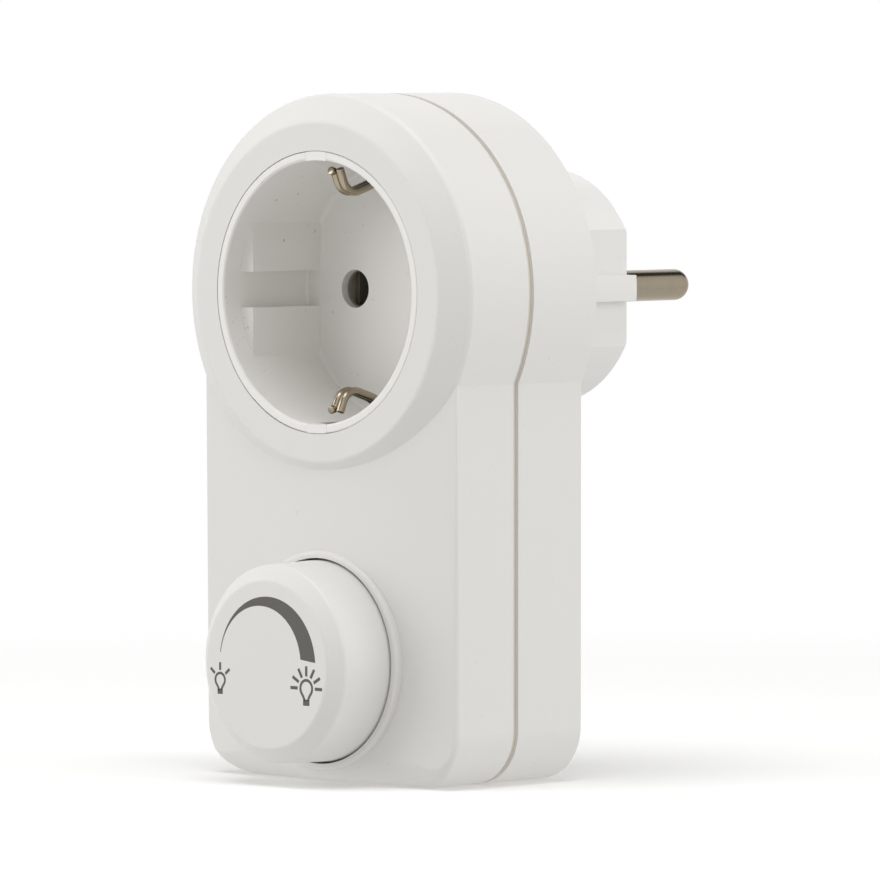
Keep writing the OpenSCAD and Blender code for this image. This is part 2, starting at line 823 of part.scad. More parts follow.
module timing_resistor() {
    color("#c8b48a") rod_x(1.15, -3.5, 3.5, y_board - 1.15, z_board - 16);
}

module trigger_diode() {
    color("#b4532f") rod_x(0.9, 5.5, 9.5, y_board - 0.9, z_board - 16);
}

module fuse_tube() {
    color("#cfd8dc") difference() {
        rod_x(fuse_r - cap_t - seat, fuse_x + cap_t + seat, fuse_x + fuse_l - cap_t - seat, fuse_y, fuse_z);
        rod_x(fuse_r - 1, fuse_x, fuse_x + fuse_l, fuse_y, fuse_z);
    }
}

module fuse_caps() {
    color(nickel) for (end = [0, 1])
        translate([fuse_x + fuse_l / 2, fuse_y, fuse_z]) mirror([end, 0, 0]) difference() {
            rod_x(fuse_r, -fuse_l / 2, cap_l - fuse_l / 2, 0, 0);
            rod_x(fuse_r - cap_t, cap_t - fuse_l / 2, cap_l - fuse_l / 2 + 1, 0, 0);
        }
}

// Sprung saddles that hold the fuse on the board
module fuse_clips() {
    half = fuse_r + 0.6;
    color(nickel) for (x = [fuse_x + 1, fuse_x + fuse_l - 4])
        difference() {
            block([x, fuse_y - fuse_r * 0.6, fuse_z - half], [x + 3, y_board, fuse_z + half]);
            rod_x(fuse_r + seat, x - 1, x + 4, fuse_y, fuse_z);
            block([x - 1, fuse_y - fuse_r, fuse_z - fuse_r * 0.75], [x + 4, fuse_y, fuse_z + fuse_r * 0.75]);
        }
}

z_solder = z_board - 3;
// From the live pin's tag to the board
module live_wire_in() {
    run_y = y_wall_in - run_gap;
    color("#8a4b2a") wire([
        [y_pin_in - tag_t, wire_z, 0], [run_y, wire_z, high_bend], [run_y, z_solder, low_bend], [y_board_back, z_solder, 0]
    ], wire_r, pin_x);
}

// From the board back up to the live contact's tail
module live_wire_out() {
    run_y = y_floor_back + pocket_l + tail_gap + tail_w / 2;
    color("#8a4b2a") wire([
        [run_y, tail_z, 0], [run_y, z_solder, 1.6], [y_board_back, z_solder, 0]
    ], wire_r, pin_x + leaf_in + leaf_t / 2);
}

module housing_screws() {
    color(bare_aluminium) for (s = SCREWS) {
        rod_y(screw_r, -screw_sink - screw_len + 0.5, -screw_sink + bury, s.x, s.y);
        rod_y(screw_head_r, -screw_sink, -screw_sink + screw_head_h, s.x, s.y);
    }
}

module dimmer_knob() {
    y_open = y_recess - skirt_clear;
    inner = skirt_r - knob_wall;
    y_top = y_knob + knob_wall;
    color(shell_white) difference() {
        about_y(0, z_knob) round_shape([
            [0, y_knob, 0], [knob_face_r, y_knob, 0.8], [knob_r, y_knob + knob_bevel, 0.9],
            [skirt_r, y_collar, 0], [skirt_r, y_open, 0.3], [inner, y_open, 0], [knob_r - knob_wall, y_top, 0],
            [hub_r, y_top, 0], [hub_r, y_open, 0], [0, y_open, 0]
        ]);
        difference() {
            rod_y(shaft_r + shaft_grip, y_top + 0.5, y_open + 1, 0, z_knob);
            block([-shaft_r - 1, y_top, z_knob + shaft_flat + shaft_grip],
                  [shaft_r + 1, y_recess - 1 - shaft_grip, z_knob + shaft_r + 1]);
        }
    }
}

front_housing();
rear_housing();
plug_body();
socket_insert();
slot_cover_top();
slot_cover_bottom();
earth_clip_top();
earth_clip_bottom();
earth_bar();
earth_pin_sleeve();
plug_pin_left();
plug_pin_right();
socket_contact_left();
socket_contact_right();
circuit_board();
potentiometer_case();
potentiometer_wafer();
potentiometer_shaft();
wiper_spring();
triac();
heat_sink();
heat_sink_rivet();
choke_core();
choke_winding();
suppression_capacitor();
timing_capacitor();
timing_resistor();
trigger_diode();
fuse_tube();
fuse_caps();
fuse_clips();
live_wire_in();
live_wire_out();
housing_screws();
dimmer_knob();
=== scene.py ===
import math

import bmesh
import bpy
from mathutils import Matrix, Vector


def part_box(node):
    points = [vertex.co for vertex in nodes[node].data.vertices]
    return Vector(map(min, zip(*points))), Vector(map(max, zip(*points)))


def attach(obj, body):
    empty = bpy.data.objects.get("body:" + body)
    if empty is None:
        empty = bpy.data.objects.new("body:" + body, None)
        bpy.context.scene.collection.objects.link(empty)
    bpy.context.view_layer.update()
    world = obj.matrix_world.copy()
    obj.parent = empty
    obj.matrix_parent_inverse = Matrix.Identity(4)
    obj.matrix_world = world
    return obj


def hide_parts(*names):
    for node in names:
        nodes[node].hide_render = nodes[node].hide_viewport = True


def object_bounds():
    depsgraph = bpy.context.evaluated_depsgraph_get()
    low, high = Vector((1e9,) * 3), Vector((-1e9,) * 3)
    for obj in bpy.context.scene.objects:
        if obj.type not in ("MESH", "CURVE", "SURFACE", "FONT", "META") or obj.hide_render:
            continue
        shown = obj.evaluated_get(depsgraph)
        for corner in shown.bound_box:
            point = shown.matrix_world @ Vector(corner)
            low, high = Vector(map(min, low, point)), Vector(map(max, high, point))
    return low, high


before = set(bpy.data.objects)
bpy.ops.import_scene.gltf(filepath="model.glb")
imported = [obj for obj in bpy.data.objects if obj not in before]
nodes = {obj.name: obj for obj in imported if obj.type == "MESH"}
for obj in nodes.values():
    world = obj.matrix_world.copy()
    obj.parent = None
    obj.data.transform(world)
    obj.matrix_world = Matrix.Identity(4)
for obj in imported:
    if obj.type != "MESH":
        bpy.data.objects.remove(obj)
cad_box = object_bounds()

# Camera: a long lens to the right of the front and a little above the middle of the dimmer,
# aimed at its centre, with the picture taken as 880 by 880.
picture = 880
focal_px = 8683.92
azimuth, elevation = math.radians(44.184), math.radians(2.619)
camera_data = bpy.data.cameras.new("photo_camera")
camera_data.sensor_width = 36
camera_data.lens = focal_px * camera_data.sensor_width / picture
camera_data.clip_end = 20
camera = bpy.data.objects.new("photo_camera", camera_data)
camera.location = (0.91765, -0.94748, 0.03728)
camera.rotation_euler = (math.pi / 2 - elevation, 0, azimuth)
bpy.context.scene.collection.objects.link(camera)
bpy.context.scene.camera = camera
bpy.context.scene.view_settings.view_transform = "Standard"


# Studio: a white floor under the bottom face, three soft lamps and a white surround.
# The floor keeps the shadow near the dimmer and runs out to plain white further away.
class Flow:
    """A node socket. Arithmetic on it adds Math nodes, and put() adds any other node."""

    def __init__(self, tree, socket=None):
        self.tree = tree
        self.socket = socket

    def put(self, kind, sockets=None, out=0, **settings):
        node = self.tree.nodes.new(kind)
        for name, value in settings.items():
            setattr(node, name, value)
        for name, value in (sockets or {}).items():
            if isinstance(value, Flow):
                self.tree.links.new(value.socket, node.inputs[name])
            else:
                node.inputs[name].default_value = value
        return Flow(self.tree, node.outputs[out] if node.outputs else None)

    def other(self, out):
        """Another output of the same node."""
        return Flow(self.tree, self.socket.node.outputs[out])

    def math(self, operation, a, b, clamp=False):
        return self.put("ShaderNodeMath", {0: a, 1: b}, operation=operation, use_clamp=clamp)

    def __add__(self, other):
        return self.math("ADD", self, other)

    def __radd__(self, other):
        return self.math("ADD", other, self)

    def __sub__(self, other):
        return self.math("SUBTRACT", self, other)

    def __rsub__(self, other):
        return self.math("SUBTRACT", other, self)

    def __mul__(self, other):
        return self.math("MULTIPLY", self, other)

    def __rmul__(self, other):
        return self.math("MULTIPLY", other, self)

    def larger(self, other):
        return self.math("MAXIMUM", self, other)

    def above(self, level, slope):
        """0 below the level, rising to 1 with the slope."""
        return self.math("MULTIPLY", self - level, slope, clamp=True)

    def tint(self, amount, first, second):
        """One colour turning into another by an amount from 0 to 1."""
        first, second = (c if isinstance(c, Flow) else tuple(c) + (1,) for c in (first, second))
        return self.put("ShaderNodeMix", {0: amount, 6: first, 7: second}, out=2, data_type="RGBA")


def new_material(name):
    material = bpy.data.materials.new(name)
    material.use_nodes = True
    material.node_tree.nodes.clear()
    return material, Flow(material.node_tree)


def close_material(flow, shader):
    flow.put("ShaderNodeOutputMaterial", {"Surface": shader})


floor_z = cad_box[0][2]
floor_r, floor_gap = 3, 0.0001
shadow_until, white_from = 0.16, 0.34
bpy.ops.object.select_all(action="DESELECT")
bpy.ops.mesh.primitive_circle_add(vertices=96, radius=floor_r, fill_type="NGON",
                                  location=(0, 0, floor_z - floor_gap))
floor = bpy.context.object
floor.name = "studio_floor"
floor_paint, flow = new_material("studio_floor")
light_path = flow.put("ShaderNodeLightPath", out="Is Camera Ray")
shows = light_path.larger(light_path.other("Is Glossy Ray")).larger(light_path.other("Is Transmission Ray"))
place = flow.put("ShaderNodeTexCoord", out="Object")
distance = flow.put("ShaderNodeVectorMath", {0: place}, out="Value", operation="LENGTH")
far = flow.put("ShaderNodeMapRange", {"Value": distance, "From Min": shadow_until, "From Max": white_from},
               interpolation_type="SMOOTHSTEP")
bounce = flow.put("ShaderNodeEmission", {"Color": (1, 0.995, 0.98, 1), "Strength": 0.76})
white = flow.put("ShaderNodeBsdfDiffuse", {"Color": (0.99, 0.99, 0.985, 1)})
blank = flow.put("ShaderNodeEmission", {"Color": (1, 1, 1, 1), "Strength": 1.0})
near_look = flow.put("ShaderNodeMixShader", {0: far, 1: white, 2: blank})
close_material(flow, flow.put("ShaderNodeMixShader", {0: shows, 1: bounce, 2: near_look}))
floor.data.materials.append(floor_paint)

world = bpy.data.worlds.new("studio_surround")
world.use_nodes = True
world.node_tree.nodes.clear()
bpy.context.scene.world = world
flow = Flow(world.node_tree)
light_path = flow.put("ShaderNodeLightPath", out="Is Camera Ray")
seen = light_path.larger(light_path.other("Is Transmission Ray"))
mirrored = light_path.other("Is Glossy Ray")
direction = flow.put("ShaderNodeTexCoord", out="Generated")
to_right = flow.put("ShaderNodeSeparateXYZ", {0: direction}, out="X")
upwards = to_right.other("Z")
gap_middle, gap_half, gap_from = -0.02, 0.3, 0.3
off_middle = flow.math("ABSOLUTE", to_right - gap_middle, 0.0)
dark_gap = (gap_half - off_middle).above(0.0, 8.0) * upwards.above(gap_from, 6.0)
fill = flow.put("ShaderNodeBackground", {"Color": (1, 0.995, 0.985, 1), "Strength": 0.49})
room = flow.put("ShaderNodeBackground", {"Color": (1, 0.99, 0.97, 1), "Strength": 1.0 - 0.98 * dark_gap})
paper = flow.put("ShaderNodeBackground", {"Color": (1, 1, 1, 1), "Strength": 1.0})
surround = flow.put("ShaderNodeMixShader", {0: mirrored, 1: fill, 2: room})
surround = flow.put("ShaderNodeMixShader", {0: seen, 1: surround, 2: paper})
flow.put("ShaderNodeOutputWorld", {"Surface": surround})
bpy.context.scene.cycles.max_bounces = 16
bpy.context.scene.cycles.diffuse_bounces = 12


def soft_lamp(name, lamp_azimuth, lamp_elevation, reach, size, power):
    """A square soft box aimed at the dimmer. Azimuth 0 stands in front of it, 90 to its right."""
    az, el = math.radians(lamp_azimuth), math.radians(lamp_elevation)
    middle = Vector((0, -0.01, -0.02))
    away = Vector((math.sin(az) * math.cos(el), -math.cos(az) * math.cos(el), math.sin(el)))
    lamp_data = bpy.data.lights.new(name, "AREA")
    lamp_data.shape = "SQUARE"
    lamp_data.size = size
    lamp_data.energy = power
    lamp = bpy.data.objects.new(name, lamp_data)
    lamp.location = middle + away * reach
    lamp.rotation_euler = away.to_track_quat("Z", "Y").to_euler()
    bpy.context.scene.collection.objects.link(lamp)


soft_lamp("left_soft_box", -40, 16, 0.9, 0.7, 2.95)
soft_lamp("right_soft_box", 108, 14, 0.9, 0.6, 2.6)
soft_lamp("top_soft_box", 30, 80, 0.9, 0.7, 4.4)

# Rear housing: white moulded shell with the screw wells and the board's posts, its rim facing
# the front shell across a narrow groove. The moulding has a fine eroded grain.
MM = 0.001
dirt_colour = (0.16, 0.14, 0.11)
shell_colour = (0.745, 0.735, 0.712)
# The groove's colour is a painted warm shade on the rim in its bottom.
groove_shade_colour, groove_y = (0.74, 0.69, 0.60), -13.88 * MM
half_width, foot_z = 26.5 * MM, -73.4 * MM
solid_corner, corner = 12 * MM, 8.3 * MM
skin, slack, weld = 0.8 * MM, 0.01 * MM, 0.001 * MM
front_edge_y, bulge_y, bulge_r = -26.9 * MM, 135.24 * MM, 164.39 * MM


def moulded(name, colour, roughness, grain, grain_depth, dust=0.0, shade=None):
    """Moulded plastic: one colour with a fine grain in its relief and gloss, a little dust, and any painted
    shade that the shade hook adds.
    """
    material, flow = new_material(name)
    place = flow.put("ShaderNodeTexCoord", out="Object")
    speckle = flow.put("ShaderNodeTexNoise", {"Vector": place, "Scale": grain, "Detail": 3.0,
                                              "Roughness": 0.6})
    relief = flow.put("ShaderNodeBump", {"Height": speckle, "Strength": 0.35, "Distance": grain_depth})
    clouds = flow.put("ShaderNodeTexNoise", {"Vector": place, "Scale": 60.0, "Detail": 2.0})
    tone = flow.tint(clouds, colour, [0.985 * c for c in colour])
    if dust:
        specks = flow.put("ShaderNodeTexNoise", {"Vector": place, "Scale": 1500.0, "Detail": 1.0})
        patches = flow.put("ShaderNodeTexNoise", {"Vector": place, "Scale": 170.0, "Detail": 1.0})
        dirt = dust * specks.above(0.70, 12.0) * patches.above(0.56, 9.0)
        tone = flow.tint(dirt, tone, dirt_colour)
    # The shade hook paints shade into the colour by place.
    if shade:
        tone = shade(flow, place, tone)
    gloss = roughness - 0.04 + 0.08 * clouds
    shader = flow.put("ShaderNodeBsdfPrincipled", {"Base Color": tone, "Roughness": gloss, "Normal": relief,
                                                    "IOR": 1.46, "Specular IOR Level": 0.45})
    close_material(flow, shader)
    return material


def paint(material, *names):
    """Gives CAD nodes their finish."""
    for name in names:
        mesh = nodes[name].data
        mesh.materials.clear()
        mesh.materials.append(material)


def painted_groove_shade(flow, place, tone):
    """Painted warm shade on the rim in the bottom of the groove."""
    deep = flow.put("ShaderNodeSeparateXYZ", {0: place}, out="Y")
    return flow.tint((groove_y - deep).above(0.0, 2e4), tone, groove_shade_colour)


def open_piece(name, mesh=None):
    """A piece at the origin, open in edit mode, empty or with a copied mesh."""
    bpy.ops.object.select_all(action="DESELECT")
    piece = bpy.data.objects.new(name, mesh or bpy.data.meshes.new(name))
    bpy.context.scene.collection.objects.link(piece)
    bpy.context.view_layer.objects.active = piece
    piece.select_set(True)
    bpy.ops.mesh.customdata_custom_splitnormals_clear()
    bpy.ops.object.mode_set(mode="EDIT")
    return piece


def close_piece(piece, finish, smooth=30):
    """Leaves edit mode with faces outwards, soft shading below an angle, and one finish."""
    bpy.ops.mesh.select_all(action="SELECT")
    bpy.ops.mesh.normals_make_consistent(inside=False)
    bpy.ops.object.mode_set(mode="OBJECT")
    bpy.ops.object.shade_smooth_by_angle(angle=math.radians(smooth))
    piece.data.materials.clear()
    piece.data.materials.append(finish)


def select_edges(piece, wanted):
    """Selects in edit mode the edges that a test picks."""
    bpy.ops.mesh.select_mode(type="EDGE")
    bpy.ops.mesh.select_all(action="DESELECT")
    shape = bmesh.from_edit_mesh(piece.data)
    for edge in shape.edges:
        if wanted(edge):
            edge.select_set(True)
    bmesh.update_edit_mesh(piece.data)


def crown(x):
    """How far forward the bulged front face stands at a place across it."""
    return bulge_y - math.sqrt(bulge_r ** 2 - x ** 2)


def from_corner(point, radius):
    """A point's distance outwards and downwards from the centre of a bottom corner's arc."""
    return abs(point.x) - (half_width - radius), foot_z + radius - point.z


def open_shell(name, node):
    """A merged copy of a shell in edit mode, with the tighter bottom corners of the real one."""
    shell = open_piece(name, nodes[node].data.copy())
    bpy.ops.mesh.select_all(action="SELECT")
    bpy.ops.mesh.remove_doubles(threshold=weld)
    bpy.ops.mesh.dissolve_limited(angle_limit=math.radians(0.2))
    shift = solid_corner - corner
    shape = bmesh.from_edit_mesh(shell.data)
    for vert in shape.verts:
        across, down = from_corner(vert.co, solid_corner)
        reach = math.hypot(across, down)
        if min(across, down) < -slack or reach < solid_corner - skin:
            continue
        x = half_width - solid_corner + shift + across * (reach - shift) / reach
        if vert.co.y < front_edge_y:
            vert.co.y += crown(x) - crown(vert.co.x)
        vert.co.x = math.copysign(x, vert.co.x)
        vert.co.z = foot_z + solid_corner - shift - down * (reach - shift) / reach
    bmesh.update_edit_mesh(shell.data)
    return shell


def close_shell(shell, node, finish):
    """Finishes a shell, with its flat faces kept flat in the shading."""
    close_piece(shell, finish, smooth=24)
    weighted = shell.modifiers.new("flat_faces_first", "WEIGHTED_NORMAL")
    weighted.keep_sharp = True
    bpy.ops.object.modifier_apply(modifier=weighted.name)
    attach(shell, "housing")
    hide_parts(node)


# The rear shell's finish carries the painted warm shade in the groove.
rear_white = moulded("white_rear_moulding", shell_colour, 0.46, 2600, 0.00004, dust=0.12, shade=painted_groove_shade)
close_shell(open_shell("rear_shell", "rear_housing"), "rear_housing", rear_white)

# Plug body: a harder, smoother white moulding held by its flange behind the rear wall.
# Its round sides carry the earth contacts and its flat sides the guide ribs.
hard_white = moulded("white_plug_moulding", (0.770, 0.760, 0.740), 0.36, 1500, 0.00001, dust=0.12)
paint(hard_white, "plug_body")


# Plug pins, earth bar and sleeve: turned and stamped brass with a dull nickel plating.
# The pins are riveted in the plug and the bar runs from the clips to the plug's sides.
def plated(name, colour, roughness, marks_scale):
    """Plated metal with faint tool marks, finer along one axis than along the others."""
    material, flow = new_material(name)
    place = flow.put("ShaderNodeTexCoord", out="Object")
    turned = flow.put("ShaderNodeMapping", {"Vector": place, "Scale": marks_scale})
    marks = flow.put("ShaderNodeTexNoise", {"Vector": turned, "Scale": 1.0, "Detail": 4.0})
    stains = flow.put("ShaderNodeTexNoise", {"Vector": place, "Scale": 260.0, "Detail": 3.0})
    tone = flow.tint(stains, colour, [0.86 * colour[0], 0.84 * colour[1], 0.80 * colour[2]])
    gloss = roughness - 0.06 + 0.12 * marks
    shader = flow.put("ShaderNodeBsdfPrincipled", {"Base Color": tone, "Metallic": 1.0, "Roughness": gloss})
    close_material(flow, shader)
    return material


nickel = plated("dull_nickel_plating", (0.325, 0.285, 0.222), 0.22, (300, 5200, 300))
paint(nickel, "plug_pin_left", "plug_pin_right", "earth_bar", "earth_pin_sleeve")

# Live path: pressed brass contacts behind the socket's holes, two insulated wires, and a glass fuse
# with plated caps in sprung clips on the board.
brass = plated("dull_spring_brass", (0.27, 0.235, 0.19), 0.9, (700, 700, 700))
paint(brass, "socket_contact_left", "socket_contact_right")
sleeve_brown = moulded("brown_insulation", (0.20, 0.08, 0.04), 0.35, 1500, 0.00001)
paint(sleeve_brown, "live_wire_in", "live_wire_out")
fuse_glass, flow = new_material("fuse_glass")
glass_place = flow.put("ShaderNodeTexCoord", out="Object")
glass_haze = flow.put("ShaderNodeTexNoise", {"Vector": glass_place, "Scale": 900.0, "Detail": 2.0})
clear = flow.put("ShaderNodeBsdfPrincipled", {"Base Color": (0.85, 0.9, 0.9, 1), "IOR": 1.5, "Alpha": 0.35,
                                              "Roughness": 0.03 + 0.08 * glass_haze})
close_material(flow, clear)
paint(fuse_glass, "fuse_tube")
paint(nickel, "fuse_caps")
zinc = plated("zinc_steel", (0.55, 0.56, 0.57), 0.35, (1200, 1200, 1200))
paint(zinc, "fuse_clips")

# Circuit: green laminate with its switching, timing and interference parts soldered on.
# The board sits on the rear housing's posts behind the knob.
board_green = moulded("green_laminate", (0.05, 0.20, 0.10), 0.3, 3000, 0.00001)
paint(board_green, "circuit_board")
dark_epoxy = moulded("black_epoxy", (0.028, 0.028, 0.032), 0.5, 2500, 0.00002)
paint(dark_epoxy, "triac")
rolled = plated("rolled_aluminium", (0.72, 0.73, 0.74), 0.4, (60, 60, 2600))
paint(rolled, "heat_sink", "heat_sink_rivet")
ferrite = moulded("grey_ferrite", (0.05, 0.05, 0.052), 0.6, 1800, 0.00003)
paint(ferrite, "choke_core")
film_yellow = moulded("yellow_film_case", (0.60, 0.47, 0.10), 0.35, 1500, 0.00001)
paint(film_yellow, "suppression_capacitor")
dipped = moulded("dipped_coating", (0.40, 0.10, 0.06), 0.3, 1200, 0.00002)
paint(dipped, "timing_capacitor", "trigger_diode")
lacquer = moulded("tan_lacquer", (0.60, 0.48, 0.30), 0.35, 1500, 0.00001)
paint(lacquer, "timing_resistor")
copper = plated("enamelled_copper", (0.55, 0.25, 0.12), 0.3, (2600, 300, 300))
paint(copper, "choke_winding")

# Potentiometer: a zinc-plated case crimped over a brown wafer on the board, with a sprung wiper
# on the rotor of a natural nylon shaft.
paint(zinc, "potentiometer_case")
phenolic = moulded("brown_phenolic", (0.22, 0.12, 0.06), 0.5, 1800, 0.00001)
paint(phenolic, "potentiometer_wafer")
paint(brass, "wiper_spring")
nylon = moulded("natural_nylon", (0.66, 0.64, 0.58), 0.4, 1500, 0.00001)
paint(nylon, "potentiometer_shaft")

# Socket insert: one white moulding with the round well, its guide blocks and the two holes,
# held behind the front shell's rim. Two small keys close the slots that its clips go in by.
# The pin holes' inner walls and the space behind them get a painted shade, darker further in.
hole_x, shade_r, shade_y, dark_y = 9.5 * MM, 7.0 * MM, -10.8 * MM, -9.3 * MM
shade_at_hole_mouth, shade_deep_in_holes = (0.34, 0.31, 0.26), (0.13, 0.12, 0.10)


def painted_hole_shade(flow, place, tone):
    """Painted shade in the inner part of the pin holes and what lies behind them, darker and browner further
    in.
    """
    across = flow.put("ShaderNodeSeparateXYZ", {0: place}, out="X")
    deep, up = across.other("Y"), across.other("Z")
    off_axis = flow.math("ABSOLUTE", across, 0.0) - hole_x
    inside = (shade_r ** 2 - off_axis * off_axis - up * up).above(0.0, 1e8)
    hole_shade_tone = flow.tint((deep - dark_y).above(0.0, 600.0), shade_at_hole_mouth, shade_deep_in_holes)
    return flow.tint(inside * (deep - shade_y).above(0.0, 5000.0), tone, hole_shade_tone)


# The insert's finish carries the painted shade in the pin holes.
insert_white = moulded("white_insert_moulding", (0.812, 0.800, 0.776), 0.36, 1500, 0.00001, dust=0.7,
                       shade=painted_hole_shade)
paint(insert_white, "socket_insert", "slot_cover_top", "slot_cover_bottom")

# Earth clips: two nickel-plated spring wires each, bent to a crest that presses on a plug's side
# contact and crimped together in a flat foot at the back. One wire's end is turned to the front.
wire_r = 0.62 * MM
leg_x = 0.64 * MM
turned_end = [(-26.2, 18.2, 0), (-25.25, 17.95, 0.8)]
straight_end = [(-25.5, 18.5, 0)]
clip_line = [(-23.85, 14.35, 2.7), (-18.5, 16.0, 4.0), (-13.0, 18.55, 3.0), (-8.7, 18.55, 0)]
foot_size = Vector((3.2, 1.4, 1.7)) * MM
foot_middle = Vector((0, -8.7, 18.55)) * MM
tip_edge, foot_edge = 0.1 * MM, 0.25 * MM


def add_block(middle, size):
    """A block at its place and size, alone selected."""
    bpy.ops.mesh.select_all(action="DESELECT")
    bpy.ops.mesh.primitive_cube_add(size=MM, location=middle)
    bpy.ops.transform.resize(value=[s / MM for s in size], center_override=middle)


def bent_wire(line, side, at_x, radius):
    """Draws a disc along a line of points in the YZ plane and spins it round each bend."""
    points = [Vector((at_x, y * MM, side * z * MM)) for y, z, _ in line]
    along = (points[1] - points[0]).normalized()
    bpy.ops.mesh.primitive_circle_add(vertices=24, radius=radius, fill_type="NGON", location=points[0],
                                      rotation=along.to_track_quat("Z", "X").to_euler())
    here = points[0]
    for before, middle, after, (_, _, bend) in zip(points, points[1:], points[2:], line[1:]):
        into, out = (middle - before).normalized(), (after - middle).normalized()
        turn = into.angle(out)
        axis = into.cross(out).normalized()
        start = middle - into * bend * MM * math.tan(turn / 2)
        bpy.ops.mesh.extrude_region_move(TRANSFORM_OT_translate={"value": start - here})
        centre = start + axis.cross(into) * bend * MM
        bpy.ops.mesh.spin(steps=10, angle=turn, center=centre, axis=-axis)
        here = middle + out * bend * MM * math.tan(turn / 2)
    bpy.ops.mesh.extrude_region_move(TRANSFORM_OT_translate={"value": points[-1] - here})


clip_nickel = plated("spring_wire_nickel", (0.41, 0.355, 0.275), 0.24, (900, 900, 900))
for side, where, cut in ((1, "top", 0), (-1, "bottom", 0.45)):
    clip = open_piece("earth_clip_wires_" + where)
    for at_x, front_end in ((-leg_x, turned_end), (leg_x, straight_end)):
        bpy.ops.mesh.select_all(action="DESELECT")
        line = [(y, z - cut, bend) for y, z, bend in front_end] + clip_line
        bent_wire(line, side, at_x, wire_r)
        tip = Vector((at_x, line[0][0] * MM, side * line[0][1] * MM))
        select_edges(clip, lambda e: e.calc_face_angle(0) > 1
                     and all((v.co - tip).length < 1.05 * wire_r for v in e.verts))
        bpy.ops.mesh.bevel(offset=tip_edge, segments=2, affect="EDGES")
    add_block((0, foot_middle.y, side * foot_middle.z), foot_size)
    select_edges(clip, lambda e: all(abs(abs(v.co.x) - foot_size.x / 2) < 1e-6 for v in e.verts))
    bpy.ops.mesh.bevel(offset=foot_edge, segments=3, affect="EDGES")
    close_piece(clip, clip_nickel)
    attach(clip, "clip_" + where)
    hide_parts("earth_clip_" + where)

# Front housing: white moulded shell with the round head, the collar for the knob and a crowned
# lower face, its outer edges softened in the mould. The screws pull it to the rear shell.
edge_soft, bottom_soft, first_cut = 0.9 * MM, 4.0 * MM, 0.08 * MM
cut_reach, cut_slack = 1.2 * first_cut, 0.3 * first_cut
collar_z, collar_outer, collar_clear = -55.2 * MM, 16.45 * MM, 0.3 * MM
head_join_z, head_join_fade = -14.0 * MM, 5.0 * MM
roll_from = 28
near_line = 0.03 * MM


def on_outline(point):
    """True for a point on the lower body's outline, near the front."""
    across, down = from_corner(point, corner)
    if point.y > front_edge_y:
        return False
    if across > 0 and down > 0:
        return abs(math.hypot(across, down) - corner) < near_line
    return abs(abs(point.x) - half_width) < near_line or abs(point.z - foot_z) < near_line


def softness(x, z, across, down):
    """How far the soft front edge reaches over the face and backwards: little at the sides, more
    along the bottom, and less over the face where the collar comes near."""
    if across <= 0:
        room = collar_z - foot_z - math.sqrt(max(collar_outer ** 2 - x ** 2, 0)) - collar_clear
        return min(bottom_soft, room), bottom_soft
    if down <= 0:
        soft = edge_soft * min(max((head_join_z - z) / head_join_fade, 0.1), 1)
    else:
        turn = math.degrees(math.atan2(down, across))
        share = min(max((turn - roll_from) / (90 - roll_from), 0), 1)
        soft = edge_soft + (bottom_soft - edge_soft) * share * share * (3 - 2 * share)
    return soft, soft


def roll_over(point):
    """Widens the narrow first bevel to the softness of the edge at its place."""
    across, down = from_corner(point, corner)
    reach = math.hypot(max(across, 0), max(down, 0))
    back = point.y - crown(point.x)
    if point.z > head_join_z or abs(corner - reach) > cut_reach or not -cut_slack < back < cut_reach:
        return
    over, behind = softness(point.x, point.z, across, down)
    shrink = (corner - (corner - reach) * over / first_cut) / reach
    if across > 0:
        point.x = math.copysign(half_width - corner + across * shrink, point.x)
    if down > 0:
        point.z = foot_z + corner - down * shrink
    point.y = crown(point.x) + back * behind / first_cut


front = open_shell("front_shell", "front_housing")
select_edges(front, lambda e: all(on_outline(v.co) for v in e.verts) and e.calc_face_angle(0) > 0.8)
bpy.ops.mesh.bevel(offset=first_cut, segments=8, affect="EDGES", clamp_overlap=False)
shape = bmesh.from_edit_mesh(front.data)
for vert in shape.verts:
    roll_over(vert.co)
bmesh.update_edit_mesh(front.data)
front_white = moulded("white_front_moulding", shell_colour, 0.46, 2600, 0.00004, dust=0.12)
close_shell(front, "front_housing", front_white)

# Housing screws: zinc-plated pan-head steel screws with a cross recess, sunk deep in the rear shell
# and driven into the front shell's bosses.
screw_places = [(-19.42, 16.29), (19.42, 16.29), (-18.5, -65.4), (18.5, -65.4)]
screw_head_r, screw_head_h, screw_shank_r = 2.75 * MM, 2.0 * MM, 1.45 * MM
seat_y, screw_tip_y = -7.0 * MM, -20.5 * MM
recess_w, recess_deep, recess_span = 0.75 * MM, 1.2 * MM, 3.0 * MM
head_y = seat_y + screw_head_h
dome_edge = 0.8 * MM
along_y = (math.pi / 2, 0, 0)


def add_rod(x, z, radius, from_y, to_y, sides):
    """A round rod along Y."""
    bpy.ops.mesh.primitive_cylinder_add(vertices=sides, radius=radius, depth=to_y - from_y, rotation=along_y,
                                        location=(x * MM, (from_y + to_y) / 2, z * MM))


